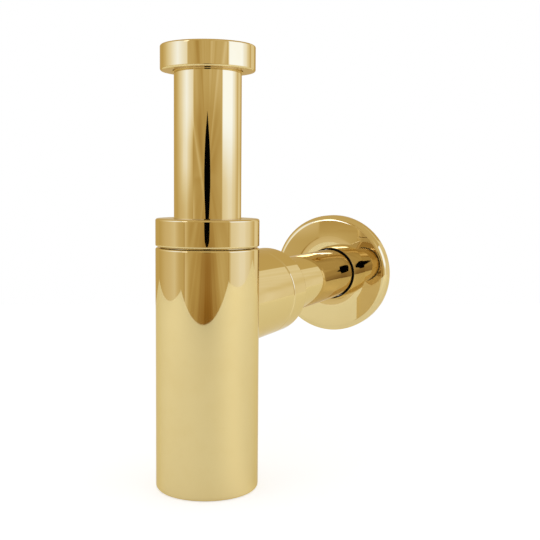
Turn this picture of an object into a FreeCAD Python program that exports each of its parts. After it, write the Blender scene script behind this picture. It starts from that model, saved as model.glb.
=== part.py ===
import FreeCAD, Part
import os
import Sketcher
from FreeCAD import Placement, Rotation, Vector

# Bottle trap for a wash basin, in millimetres.
# The origin is the centre of the inlet washer's upper face, where the basin waste lands.
# +Z points up along the inlet tube and +Y runs along the outlet pipe to the wall.

SIZES = [
    ("tube_diameter", 32.0, "inlet tube and outlet pipe, outside"),
    ("tube_wall", 1.0, "wall of the inlet tube and the outlet pipe"),
    ("tube_end_chamfer", 0.4, "outer edge of each plain tube end"),
    ("running_clearance", 0.3, "radial room between a tube and a nut, neck or socket"),
    ("grip_clearance", 0.1, "radial room between a tube and a rubber or slip ring"),
    ("seat_clearance", 0.1, "room between a rubber ring and the metal that holds it"),
    ("thread_clearance", 0.3, "radial room between a nut's bore and a threaded neck"),
    ("seam_gap", 0.4, "gap between a nut and the shoulder that it is screwed towards"),
    ("nut_edge_radius", 1.0, "rounding on the outer edges of the nuts"),
    ("seam_edge_radius", 0.7, "rounding on the edges beside a seam"),
    ("tube_flange_width", 2.8, "flange on top of the inlet tube, beyond the tube"),
    ("tube_flange_thickness", 1.5, "flange on top of the inlet tube"),
    ("tube_exposed", 69.0, "length of tube seen between the inlet nut and the collar nut"),
    ("dip_gap", 21.3, "room between the inlet tube's open end and the bottle's floor"),
    ("inlet_play", 0.675, "radial room between the tube's flange and the inlet thread's crests"),
    ("inlet_nut_wall", 3.025, "wall of the inlet nut outside its thread's crests"),
    ("inlet_nut_height", 12.0, "inlet nut, overall"),
    ("inlet_web", 2.0, "floor of the inlet nut under the tube's flange"),
    ("inlet_relief", 1.725, "depth of the undercut below the inlet thread"),
    ("inlet_mouth_chamfer", 0.7, "lead-in at the mouth of the inlet thread"),
    ("washer_thickness", 2.0, "inlet washer"),
    ("washer_overhang", 0.4, "inlet washer, beyond the tube's flange"),
    ("washer_inset", 0.5, "inlet washer, inside the tube's bore"),
    ("seal_width", 3.3, "thick end of a tapered seal's seat, beyond the tube"),
    ("seal_tip_width", 0.8, "thin end of a tapered seal's seat, beyond the tube"),
    ("seal_depth", 4.6, "depth of a tapered seal's seat"),
    ("seal_stand", 1.0, "height of a seal above its seat"),
    ("slip_ring_width", 4.0, "plastic slip rings, beyond the tube"),
    ("slip_ring_thickness", 1.5, "plastic slip rings"),
    ("neck_wall", 3.1, "wall of the bottle's threaded neck at its mouth"),
    ("collar_wall", 2.1, "wall of the collar nut round the neck"),
    ("collar_height", 13.3, "collar nut, overall"),
    ("collar_web", 3.2, "top of the collar nut, round the tube"),
    ("collar_edge_radius", 1.1, "rounding on the collar nut's lower edge"),
    ("bottle_height", 117.5, "bottle below the collar nut"),
    ("bottle_wall", 1.5, "side wall of the bottle"),
    ("bottle_base", 2.0, "floor of the bottle"),
    ("base_edge_radius", 2.2, "rounded edge under the bottle"),
    ("base_inner_radius", 1.5, "rounded corner inside the bottle's floor"),
    ("shoulder_thickness", 3.0, "top of the bottle, round its neck"),
    ("shoulder_edge_radius", 1.4, "rounded edge on top of the bottle"),
    ("boss_headroom", 4.75, "bottle seen between its shoulder and the outlet boss"),
    ("boss_reach", 57.8, "outlet boss from the bottle's axis to its end face"),
    ("boss_wall", 2.0, "wall of the outlet boss"),
    ("boss_ring", 9.8, "solid end ring of the outlet boss"),
    ("stop_thickness", 3.0, "stop that the outlet pipe can be pushed against"),
    ("pipe_play", 3.0, "room between the outlet pipe and its stop"),
    ("nose_wall", 1.65, "wall of the boss's threaded nose at its mouth"),
    ("outlet_nut_wall", 2.25, "wall of the outlet nut round the nose"),
    ("outlet_nut_length", 18.2, "outlet nut, overall"),
    ("outlet_web", 3.2, "end of the outlet nut, round the pipe"),
    ("outlet_hole_gap", 0.8, "hole in the outlet nut, beyond the pipe"),
    ("spigot_length", 45.0, "outlet pipe behind the wall flange"),
    ("flange_reach", 188.8, "flange's front face at its hole, from the bottle's axis"),
    ("flange_crown", 0.5, "fall of the flange's crowned face from its hole to its edge"),
    ("flange_diameter", 76.8, "wall flange, outside"),
    ("flange_sheet", 1.0, "sheet that the wall flange is pressed from"),
    ("flange_rim_radius", 3.5, "rounded rim of the wall flange"),
    ("flange_skirt", 6.2, "straight edge of the wall flange behind its rim"),
    ("flange_hole_gap", 1.3, "hole in the wall flange, beyond the pipe"),
    ("flange_hole_radius", 0.5, "rounded front edge of the flange's hole"),
    ("flange_ring_lip", 3.0, "lip of the flange ring behind the sheet"),
    ("flange_ring_depth", 2.5, "flange ring behind the sheet"),
    ("flange_ring_recess", 0.3, "flange ring behind the flange's front face"),
]

# Radii that pieces share: the two compression joints are built outwards from the tube
RADII = [
    ("tube_out", "sizes.tube_diameter / 2"),
    ("tube_in", "radii.tube_out - sizes.tube_wall"),
    ("tube_pass", "radii.tube_out + sizes.running_clearance"),
    ("tube_grip", "radii.tube_out + sizes.grip_clearance"),
    ("tube_flange", "radii.tube_out + sizes.tube_flange_width"),
    ("inlet_thread", "radii.tube_flange + sizes.inlet_play"),
    ("inlet_relief", "radii.inlet_thread + sizes.inlet_relief"),
    ("inlet_nut", "radii.inlet_thread + sizes.inlet_nut_wall"),
    ("washer_out", "radii.tube_flange + sizes.washer_overhang"),
    ("washer_in", "radii.tube_in - sizes.washer_inset"),
    ("seal_mouth", "radii.tube_out + sizes.seal_width"),
    ("seal_tip", "radii.tube_out + sizes.seal_tip_width"),
    ("slip_ring", "radii.tube_out + sizes.slip_ring_width"),
    ("neck", "radii.seal_mouth + sizes.neck_wall"),
    ("collar_bore", "radii.neck + sizes.thread_clearance"),
    ("collar", "radii.collar_bore + sizes.collar_wall"),
    ("bottle_out", "radii.collar"),
    ("bottle_in", "radii.bottle_out - sizes.bottle_wall"),
    ("nose", "radii.seal_mouth + sizes.nose_wall"),
    ("outlet_bore", "radii.nose + sizes.thread_clearance"),
    ("outlet_nut", "radii.outlet_bore + sizes.outlet_nut_wall"),
    ("outlet_hole", "radii.tube_out + sizes.outlet_hole_gap"),
    ("boss_out", "radii.outlet_nut"),
    ("boss_in", "radii.boss_out - sizes.boss_wall"),
    ("flange_out", "sizes.flange_diameter / 2"),
    ("flange_in", "radii.flange_out - sizes.flange_sheet"),
    ("flange_hole", "radii.tube_out + sizes.flange_hole_gap"),
]

# Heights above the origin, then distances along the arm from the bottle's axis
LEVELS = [
    ("tube_top", "-sizes.washer_thickness"),
    ("tube_seat", "levels.tube_top - sizes.tube_flange_thickness"),
    ("nut_bottom", "levels.tube_seat - sizes.inlet_web"),
    ("nut_top", "levels.nut_bottom + sizes.inlet_nut_height"),
    ("collar_top", "levels.nut_bottom - sizes.tube_exposed"),
    ("collar_bottom", "levels.collar_top - sizes.collar_height"),
    ("collar_roof", "levels.collar_top - sizes.collar_web"),
    ("collar_seal_top", "levels.collar_roof - sizes.slip_ring_thickness"),
    ("neck_top", "levels.collar_seal_top - sizes.seal_stand"),
    ("shoulder", "levels.collar_bottom - sizes.seam_gap"),
    ("bottle_roof", "levels.shoulder - sizes.shoulder_thickness"),
    ("bottle_bottom", "levels.collar_bottom - sizes.bottle_height"),
    ("bottle_floor", "levels.bottle_bottom + sizes.bottle_base"),
    ("tube_bottom", "levels.bottle_floor + sizes.dip_gap"),
    ("arm_height", "levels.shoulder - sizes.boss_headroom - radii.boss_out"),
    ("outlet_nut_start", "sizes.boss_reach + sizes.seam_gap"),
    ("outlet_nut_end", "levels.outlet_nut_start + sizes.outlet_nut_length"),
    ("outlet_roof", "levels.outlet_nut_end - sizes.outlet_web"),
    ("outlet_seal_top", "levels.outlet_roof - sizes.slip_ring_thickness"),
    ("nose_end", "levels.outlet_seal_top - sizes.seal_stand"),
    ("boss_chamber_end", "sizes.boss_reach - sizes.boss_ring"),
    ("socket_start", "levels.boss_chamber_end + sizes.stop_thickness"),
    ("pipe_start", "levels.socket_start + sizes.pipe_play"),
    ("flange_face_back", "sizes.flange_reach + sizes.flange_sheet"),
    ("flange_rim_front", "sizes.flange_reach + sizes.flange_crown"),
    ("flange_rim_inside", "levels.flange_rim_front + sizes.flange_sheet"),
    ("flange_back", "levels.flange_rim_front + sizes.flange_rim_radius + sizes.flange_skirt"),
    ("flange_ring_front", "sizes.flange_reach + sizes.flange_ring_recess"),
    ("flange_ring_back", "levels.flange_face_back + sizes.flange_ring_depth"),
    ("pipe_end", "levels.flange_back + sizes.spigot_length"),
]

document = FreeCAD.newDocument("bottle_trap")


def fill_sheet(name, rows):
    """A sheet with one alias, value and note to a row."""
    sheet = document.addObject("Spreadsheet::Sheet", name)
    for number, row in enumerate(rows, start=1):
        sheet.set(f"A{number}", row[0])
        sheet.set(f"B{number}", str(row[1]))
        sheet.setAlias(f"B{number}", row[0])
        if len(row) > 2:
            sheet.set(f"C{number}", row[2])
    document.recompute()
    return sheet


def formulas(rows):
    return [(alias, f"={formula}") for alias, formula in rows]


sizes = fill_sheet("sizes", SIZES)
fill_sheet("radii", formulas(RADII))
fill_sheet("levels", formulas(LEVELS))


def value(expression):
    """The number that an expression of the sheets gives."""
    return float(sizes.evalExpression(expression))


def new_body(label):
    body = document.addObject("PartDesign::Body", label)
    body.Label = label
    return body


def profile(body, name, plane, points):
    """A closed outline of straight edges whose corners are bound to the sheets."""
    sketch = body.newObject("Sketcher::SketchObject", f"{body.Name}_{name}")
    support = [item for item in body.Origin.OriginFeatures if item.Role == plane][0]
    sketch.AttachmentSupport = [(support, "")]
    sketch.MapMode = "FlatFace"
    corners = [Vector(value(across), value(along), 0) for across, along in points]
    count = len(corners)
    for index in range(count):
        following = (index + 1) % count
        sketch.addGeometry(Part.LineSegment(corners[index], corners[following]), False)
    for index in range(count):
        sketch.addConstraint(Sketcher.Constraint("Coincident", index, 2, (index + 1) % count, 1))
    for index, (across, along) in enumerate(points):
        corner = corners[index]
        place = sketch.addConstraint(Sketcher.Constraint("DistanceX", -1, 1, index, 1, corner.x))
        sketch.setExpression(f"Constraints[{place}]", across)
        place = sketch.addConstraint(Sketcher.Constraint("DistanceY", -1, 1, index, 1, corner.y))
        sketch.setExpression(f"Constraints[{place}]", along)
    document.recompute()
    return sketch


def revolve(body, kind, sketch, axis):
    """Turn a sketch into a solid, or cut its turned form away, and check that it did so."""
    before = 0.0 if body.Shape.isNull() else body.Shape.Volume
    turned = body.newObject(f"PartDesign::{kind}", f"{sketch.Name}_{kind.lower()}")
    turned.Profile = sketch
    turned.ReferenceAxis = (sketch, [axis])
    turned.Angle = 360
    sketch.Visibility = False
    document.recompute()
    change = body.Shape.Volume - before
    if (change > 0) != (kind == "Revolution"):
        raise RuntimeError(f"{turned.Name} changed the volume by {change:.1f}")
    return turned


def circle_edges(shape, centre_of, rings):
    """Names of the circular edges with the given radii and places along their axis."""
    names = []
    for radius, place in rings:
        found = []
        for number, edge in enumerate(shape.Edges, start=1):
            if not isinstance(edge.Curve, Part.Circle):
                continue
            same_radius = abs(edge.Curve.Radius - value(radius)) < 1e-4
            if same_radius and abs(centre_of(edge.Curve.Center) - value(place)) < 1e-4:
                found.append(f"Edge{number}")
        if not found:
            raise RuntimeError(f"no edge of radius {radius} at {place}")
        names += found
    return names


def up_the_axis(point):
    return point.z


def along_the_arm(point):
    return point.y


def dress(body, kind, name, size, rings, centre_of=up_the_axis):
    """Round or chamfer the circular edges that the rings name."""
    feature = body.newObject(f"PartDesign::{kind}", f"{body.Name}_{name}")
    base = feature.BaseFeature if feature.BaseFeature else body.Tip
    feature.Base = (base, circle_edges(base.Shape, centre_of, rings))
    feature.setExpression("Radius" if kind == "Fillet" else "Size", size)
    document.recompute()
    return feature


def turned_piece(label, outline):
    """A piece turned about its own Z axis from one half section."""
    body = new_body(label)
    revolve(body, "Revolution", profile(body, "section", "XZ_Plane", outline), "V_Axis")
    return body


def lay_on_arm(body):
    """Turn a piece made about Z so that its axis is the outlet's, with its Z running to the wall."""
    body.Placement = Placement(Vector(0, 0, value("levels.arm_height")), Rotation(Vector(1, 0, 0), -90))
    body.setExpression("Placement.Base.z", "levels.arm_height")
    return body


def make_inlet_nut():
    body = turned_piece("inlet_nut", [
        ("radii.tube_pass", "levels.nut_bottom"),
        ("radii.inlet_nut", "levels.nut_bottom"),
        ("radii.inlet_nut", "levels.nut_top"),
        ("radii.inlet_thread", "levels.nut_top"),
        ("radii.inlet_thread", "0"),
        ("radii.inlet_relief", "0"),
        ("radii.inlet_relief", "levels.tube_seat"),
        ("radii.tube_pass", "levels.tube_seat"),
    ])
    rims = [("radii.inlet_nut", "levels.nut_bottom"), ("radii.inlet_nut", "levels.nut_top")]
    dress(body, "Fillet", "rims", "sizes.nut_edge_radius", rims)
    mouth = [("radii.inlet_thread", "levels.nut_top")]
    dress(body, "Chamfer", "mouth", "sizes.inlet_mouth_chamfer", mouth)
    return body


def make_inlet_washer():
    return turned_piece("inlet_washer", [
        ("radii.washer_in", "levels.tube_top"),
        ("radii.washer_out", "levels.tube_top"),
        ("radii.washer_out", "0"),
        ("radii.washer_in", "0"),
    ])


def make_inlet_tube():
    body = turned_piece("inlet_tube", [
        ("radii.tube_in", "levels.tube_bottom"),
        ("radii.tube_out", "levels.tube_bottom"),
        ("radii.tube_out", "levels.tube_seat"),
        ("radii.tube_flange", "levels.tube_seat"),
        ("radii.tube_flange", "levels.tube_top"),
        ("radii.tube_in", "levels.tube_top"),
    ])
    dress(body, "Chamfer", "end", "sizes.tube_end_chamfer", [("radii.tube_out", "levels.tube_bottom")])
    return body


def make_collar_nut():
    body = turned_piece("collar_nut", [
        ("radii.collar_bore", "levels.collar_bottom"),
        ("radii.collar", "levels.collar_bottom"),
        ("radii.collar", "levels.collar_top"),
        ("radii.tube_pass", "levels.collar_top"),
        ("radii.tube_pass", "levels.collar_roof"),
        ("radii.collar_bore", "levels.collar_roof"),
    ])
    dress(body, "Fillet", "top_rim", "sizes.nut_edge_radius", [("radii.collar", "levels.collar_top")])
    dress(body, "Fillet", "low_rim", "sizes.collar_edge_radius", [("radii.collar", "levels.collar_bottom")])
    return body


def make_slip_ring(label, start):
    """Flat ring that lets a nut turn without dragging the seal round."""
    end = f"{start} + sizes.slip_ring_thickness"
    return turned_piece(label, [
        ("radii.tube_grip", start),
        ("radii.slip_ring", start),
        ("radii.slip_ring", end),
        ("radii.tube_grip", end),
    ])


def make_seal(label, mouth):
    """Tapered ring that a nut wedges between the tube and its seat."""
    tip = f"{mouth} - sizes.seal_depth + sizes.seat_clearance"
    top = f"{mouth} + sizes.seal_stand"
    thick_end = "radii.seal_mouth - sizes.seat_clearance"
    thin_end = "radii.seal_tip - sizes.seat_clearance"
    return turned_piece(label, [
        ("radii.tube_grip", tip),
        (thin_end, tip),
        (thick_end, mouth),
        (thick_end, top),
        ("radii.tube_grip", top),
    ])


def make_bottle_body():
    """Cup with a threaded neck, and a boss with a threaded nose on its side."""
    body = new_body("bottle_body")
    cup = profile(body, "cup", "XZ_Plane", [
        ("0", "levels.bottle_bottom"),
        ("radii.bottle_out", "levels.bottle_bottom"),
        ("radii.bottle_out", "levels.shoulder"),
        ("radii.neck", "levels.shoulder"),
        ("radii.neck", "levels.neck_top"),
        ("0", "levels.neck_top"),
    ])
    revolve(body, "Revolution", cup, "V_Axis")
    base_edge = [("radii.bottle_out", "levels.bottle_bottom")]
    dress(body, "Fillet", "base_edge", "sizes.base_edge_radius", base_edge)
    shoulder_edge = [("radii.bottle_out", "levels.shoulder")]
    dress(body, "Fillet", "shoulder_edge", "sizes.shoulder_edge_radius", shoulder_edge)

    boss = profile(body, "boss", "YZ_Plane", [
        ("0", "0"),
        ("0", "radii.boss_out"),
        ("sizes.boss_reach", "radii.boss_out"),
        ("sizes.boss_reach", "radii.nose"),
        ("levels.nose_end", "radii.nose"),
        ("levels.nose_end", "0"),
    ])
    boss.setExpression("AttachmentOffset.Base.y", "levels.arm_height")
    revolve(body, "Revolution", boss, "H_Axis")
    boss_edge = [("radii.boss_out", "sizes.boss_reach")]
    dress(body, "Fillet", "boss_edge", "sizes.seam_edge_radius", boss_edge, along_the_arm)

    chamber = profile(body, "chamber", "XZ_Plane", [
        ("0", "levels.bottle_floor"),
        ("radii.bottle_in", "levels.bottle_floor"),
        ("radii.bottle_in", "levels.bottle_roof"),
        ("radii.tube_pass", "levels.bottle_roof"),
        ("radii.tube_pass", "levels.neck_top - sizes.seal_depth"),
        ("radii.seal_tip", "levels.neck_top - sizes.seal_depth"),
        ("radii.seal_mouth", "levels.neck_top"),
        ("0", "levels.neck_top"),
    ])
    revolve(body, "Groove", chamber, "V_Axis")
    floor_corner = [("radii.bottle_in", "levels.bottle_floor")]
    dress(body, "Fillet", "floor_corner", "sizes.base_inner_radius", floor_corner)

    passage = profile(body, "passage", "YZ_Plane", [
        ("0", "0"),
        ("0", "radii.boss_in"),
        ("levels.boss_chamber_end", "radii.boss_in"),
        ("levels.boss_chamber_end", "radii.tube_in"),
        ("levels.socket_start", "radii.tube_in"),
        ("levels.socket_start", "radii.tube_pass"),
        ("levels.nose_end - sizes.seal_depth", "radii.tube_pass"),
        ("levels.nose_end - sizes.seal_depth", "radii.seal_tip"),
        ("levels.nose_end", "radii.seal_mouth"),
        ("levels.nose_end", "0"),
    ])
    passage.setExpression("AttachmentOffset.Base.y", "levels.arm_height")
    revolve(body, "Groove", passage, "H_Axis")
    return body


def make_outlet_nut():
    body = turned_piece("outlet_nut", [
        ("radii.outlet_bore", "levels.outlet_nut_start"),
        ("radii.outlet_nut", "levels.outlet_nut_start"),
        ("radii.outlet_nut", "levels.outlet_nut_end"),
        ("radii.outlet_hole", "levels.outlet_nut_end"),
        ("radii.outlet_hole", "levels.outlet_roof"),
        ("radii.outlet_bore", "levels.outlet_roof"),
    ])
    end_rim = [("radii.outlet_nut", "levels.outlet_nut_end")]
    dress(body, "Fillet", "end_rim", "sizes.nut_edge_radius", end_rim)
    seam_rim = [("radii.outlet_nut", "levels.outlet_nut_start")]
    dress(body, "Fillet", "seam_rim", "sizes.seam_edge_radius", seam_rim)
    return lay_on_arm(body)


def make_outlet_pipe():
    body = turned_piece("outlet_pipe", [
        ("radii.tube_in", "levels.pipe_start"),
        ("radii.tube_out", "levels.pipe_start"),
        ("radii.tube_out", "levels.pipe_end"),
        ("radii.tube_in", "levels.pipe_end"),
    ])
    ends = [("radii.tube_out", "levels.pipe_start"), ("radii.tube_out", "levels.pipe_end")]
    dress(body, "Chamfer", "ends", "sizes.tube_end_chamfer", ends)
    return lay_on_arm(body)


def make_wall_flange():
    """Pressed dish: a slightly crowned face with a hole, a rounded rim and a short skirt to the wall."""
    body = turned_piece("wall_flange", [
        ("radii.flange_hole", "sizes.flange_reach"),
        ("radii.flange_out", "levels.flange_rim_front"),
        ("radii.flange_out", "levels.flange_back"),
        ("radii.flange_in", "levels.flange_back"),
        ("radii.flange_in", "levels.flange_rim_inside"),
        ("radii.flange_hole", "levels.flange_face_back"),
    ])
    rim = [("radii.flange_out", "levels.flange_rim_front")]
    dress(body, "Fillet", "rim", "sizes.flange_rim_radius", rim)
    rim_inside = [("radii.flange_in", "levels.flange_rim_inside")]
    dress(body, "Fillet", "rim_inside", "sizes.flange_rim_radius - sizes.flange_sheet", rim_inside)
    hole_edge = [("radii.flange_hole", "sizes.flange_reach")]
    dress(body, "Fillet", "hole_edge", "sizes.flange_hole_radius", hole_edge)
    return lay_on_arm(body)


def make_flange_ring():
    """Rubber ring that grips the pipe and is pressed into the flange's hole from behind."""
    in_hole = "radii.flange_hole - sizes.seat_clearance"
    lip = "radii.flange_hole + sizes.flange_ring_lip"
    crown_slope = "sizes.flange_crown / (radii.flange_in - radii.flange_hole)"
    lip_front = f"levels.flange_face_back + sizes.flange_ring_lip * {crown_slope}"
    return lay_on_arm(turned_piece("flange_ring", [
        ("radii.tube_grip", "levels.flange_ring_front"),
        (in_hole, "levels.flange_ring_front"),
        (in_hole, "levels.flange_face_back"),
        (lip, lip_front),
        (lip, "levels.flange_ring_back"),
        ("radii.tube_grip", "levels.flange_ring_back"),
    ]))


pieces = [
    make_inlet_nut(),
    make_inlet_washer(),
    make_inlet_tube(),
    make_collar_nut(),
    make_slip_ring("collar_slip_ring", "levels.collar_seal_top"),
    make_seal("collar_seal", "levels.neck_top"),
    make_bottle_body(),
    make_outlet_nut(),
    lay_on_arm(make_slip_ring("outlet_slip_ring", "levels.outlet_seal_top")),
    lay_on_arm(make_seal("outlet_seal", "levels.nose_end")),
    make_outlet_pipe(),
    make_wall_flange(),
    make_flange_ring(),
]
document.recompute()

for item in document.Objects:
    if "Invalid" in item.State or "Error" in item.State:
        raise RuntimeError(f"{item.Name} is {item.State}")
for piece in pieces:
    if piece.Shape.isNull() or not piece.Shape.isValid() or len(piece.Shape.Solids) != 1:
        raise RuntimeError(f"{piece.Label} is not one sound solid")

os.makedirs("parts", exist_ok=True)
for piece in pieces:
    piece.Shape.exportStep(f"parts/{piece.Label}.step")
    box = piece.Shape.BoundBox
    print(f"{piece.Label}: {piece.Shape.Volume / 1000:.2f} cm3, z {box.ZMin:.2f} to {box.ZMax:.2f}")
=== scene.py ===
import math

import bmesh
import bpy
from mathutils import Matrix, Vector, noise


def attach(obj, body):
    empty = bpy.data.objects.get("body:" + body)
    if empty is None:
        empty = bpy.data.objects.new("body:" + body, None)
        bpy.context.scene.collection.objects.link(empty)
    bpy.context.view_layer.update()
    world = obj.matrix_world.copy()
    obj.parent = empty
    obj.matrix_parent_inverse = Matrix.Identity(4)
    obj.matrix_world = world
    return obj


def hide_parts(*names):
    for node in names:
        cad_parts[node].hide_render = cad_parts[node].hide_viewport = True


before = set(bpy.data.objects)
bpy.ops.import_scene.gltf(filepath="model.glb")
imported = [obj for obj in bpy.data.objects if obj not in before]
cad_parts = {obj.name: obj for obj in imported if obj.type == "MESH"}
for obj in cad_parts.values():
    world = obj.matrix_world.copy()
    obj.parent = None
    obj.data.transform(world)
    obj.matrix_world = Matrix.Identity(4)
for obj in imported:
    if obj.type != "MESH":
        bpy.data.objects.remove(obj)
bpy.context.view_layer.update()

scene = bpy.context.scene
mm = 0.001
armHeight = -116.45          # outlet axis, below the inlet washer's upper face
floorHeight = -205.3
layOnArm = Matrix.Translation((0, 0, armHeight * mm)) @ Matrix.Rotation(math.radians(-90), 4, "X")
print("frame loaded:", len(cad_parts), "nodes")


# helpers for node trees
def addNode(tree, kind, **settings):
    node = tree.nodes.new(kind)
    for key, setting in settings.items():
        setattr(node, key, setting)
    return node


def feed(tree, socket, source):
    if isinstance(source, bpy.types.NodeSocket):
        tree.links.new(source, socket)
    else:
        socket.default_value = source


def calc(tree, operation, first, second=None, kind="ShaderNodeMath"):
    node = addNode(tree, kind, operation=operation)
    feed(tree, node.inputs[0], first)
    if second is not None:
        feed(tree, node.inputs[1], second)
    return node.outputs[0]


def mixColours(tree, factor, first, second):
    node = addNode(tree, "ShaderNodeMix", data_type="RGBA")
    ends = [socket for socket in node.inputs if socket.type == "RGBA"]
    feed(tree, node.inputs["Factor"], factor)
    feed(tree, ends[0], first)
    feed(tree, ends[1], second)
    return next(socket for socket in node.outputs if socket.type == "RGBA")


# finishes
goldFinish = {
    "edgeTint": (0.9, 0.8, 0.55, 1),
    "colour": (0.83, 0.665, 0.31, 1),
    "tarnish": (0.82, 0.65, 0.295, 1),
    # painted reflection tone: the gold is drawn paler wherever it is seen in other gold
    "mirrored": (0.77, 0.64, 0.42, 1),         # where it is seen in other gold, as the photo shows it
    "polished": 0.022, "smudged": 0.036, "shine": 0.5,      # roughness, then specular level
    "waveSize": 26, "waveDepth": 0.0000025,    # slow waves left by the polishing wheel
}
rawFinish = {
    "edgeTint": (0.8, 0.7, 0.5, 1),
    "colour": (0.62, 0.46, 0.22, 1),
    "tarnish": (0.38, 0.26, 0.12, 1),
    "polished": 0.28, "smudged": 0.5, "shine": 0.5,
    "waveSize": 160, "waveDepth": 0.00002,
}
rubberFinish = {
    "edgeTint": (1, 1, 1, 1),
    "colour": (0.005, 0.005, 0.005, 1),
    "tarnish": (0.012, 0.0115, 0.011, 1),
    "polished": 0.5, "smudged": 0.75, "shine": 0.12,
    "waveSize": 900, "waveDepth": 0.00001,
}
plasticFinish = {
    "edgeTint": (1, 1, 1, 1),
    "colour": (0.82, 0.82, 0.80, 1),
    "tarnish": (0.74, 0.73, 0.69, 1),
    "polished": 0.3, "smudged": 0.45, "shine": 0.5,
    "waveSize": 500, "waveDepth": 0.00001,
}
marking = {                                    # noise for the waves, and for the blots of tarnish
    "waveDetail": 2, "blotDetail": 5, "blotRoughness": 0.65, "blotScale": 2.3, "blotStart": 0.42, "blotFull": 0.72,
}


def makeSurfaceMarks():
    tree = bpy.data.node_groups.new("surfaceMarks", "ShaderNodeTree")
    face = tree.interface
    face.new_socket("Vector", in_out="INPUT", socket_type="NodeSocketVector")
    face.new_socket("Wave Size", in_out="INPUT", socket_type="NodeSocketFloat")
    face.new_socket("Smudges", in_out="OUTPUT", socket_type="NodeSocketFloat")
    face.new_socket("Waves", in_out="OUTPUT", socket_type="NodeSocketFloat")
    into = addNode(tree, "NodeGroupInput")
    out = addNode(tree, "NodeGroupOutput")
    waves = addNode(tree, "ShaderNodeTexNoise")
    waves.inputs["Detail"].default_value = marking["waveDetail"]
    feed(tree, waves.inputs["Vector"], into.outputs["Vector"])
    feed(tree, waves.inputs["Scale"], into.outputs["Wave Size"])
    blots = addNode(tree, "ShaderNodeTexNoise")
    blots.inputs["Detail"].default_value = marking["blotDetail"]
    blots.inputs["Roughness"].default_value = marking["blotRoughness"]
    feed(tree, blots.inputs["Vector"], into.outputs["Vector"])
    feed(tree, blots.inputs["Scale"], calc(tree, "MULTIPLY", into.outputs["Wave Size"], marking["blotScale"]))
    spread = addNode(tree, "ShaderNodeMapRange", interpolation_type="SMOOTHSTEP")
    feed(tree, spread.inputs["Value"], blots.outputs["Fac"])
    spread.inputs["From Min"].default_value = marking["blotStart"]
    spread.inputs["From Max"].default_value = marking["blotFull"]
    feed(tree, out.inputs["Smudges"], spread.outputs["Result"])
    feed(tree, out.inputs["Waves"], waves.outputs["Fac"])
    return tree


surfaceMarks = makeSurfaceMarks()


def makeFinish(name, finish, metal):
    material = bpy.data.materials.new(name)
    material.use_nodes = True
    tree = material.node_tree
    shader = tree.nodes["Principled BSDF"]
    shader.inputs["Metallic"].default_value = metal
    shader.inputs["Specular IOR Level"].default_value = finish["shine"]
    shader.inputs["Specular Tint"].default_value = finish["edgeTint"]
    marks = addNode(tree, "ShaderNodeGroup", node_tree=surfaceMarks)
    marks.inputs["Wave Size"].default_value = finish["waveSize"]
    feed(tree, marks.inputs["Vector"], addNode(tree, "ShaderNodeTexCoord").outputs["Object"])
    tone = mixColours(tree, marks.outputs["Smudges"], finish["colour"], finish["tarnish"])
    # painted reflection tone: a finish with a mirrored colour is drawn in it when seen in a reflection
    if "mirrored" in finish:
        path = addNode(tree, "ShaderNodeLightPath")
        tone = mixColours(tree, calc(tree, "MINIMUM", path.outputs["Glossy Depth"], 1), tone, finish["mirrored"])
    feed(tree, shader.inputs["Base Color"], tone)
    rough = addNode(tree, "ShaderNodeMapRange")
    feed(tree, rough.inputs["Value"], marks.outputs["Smudges"])
    rough.inputs["To Min"].default_value = finish["polished"]
    rough.inputs["To Max"].default_value = finish["smudged"]
    feed(tree, shader.inputs["Roughness"], rough.outputs["Result"])
    bump = addNode(tree, "ShaderNodeBump")
    bump.inputs["Strength"].default_value = 1
    bump.inputs["Distance"].default_value = finish["waveDepth"]
    feed(tree, bump.inputs["Height"], marks.outputs["Waves"])
    feed(tree, shader.inputs["Normal"], bump.outputs["Normal"])
    return material


goldBrass = makeFinish("goldBrass", goldFinish, 1)
rawBrass = makeFinish("rawBrass", rawFinish, 1)
blackRubber = makeFinish("blackRubber", rubberFinish, 0)
whitePlastic = makeFinish("whitePlastic", plasticFinish, 0)
print("finishes made")


lathing = {
    "sewDistance": 0.000001, "allInside": 0.99,
    "holdWidth": 0.05,                         # narrow band beside each rounding, keeps flat faces flat in shading
    "cutShare": 0.4,                           # most of a straight stretch that a rounding may take
    "arcRate": 10, "fewestSteps": 4, "mostSteps": 22,
    "threadSteps": 10, "threadFade": 0.7,      # section points to a pitch; part of a pitch to run in and out
    "plainPitch": 1.5,                         # stands in where there is no thread
}


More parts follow.
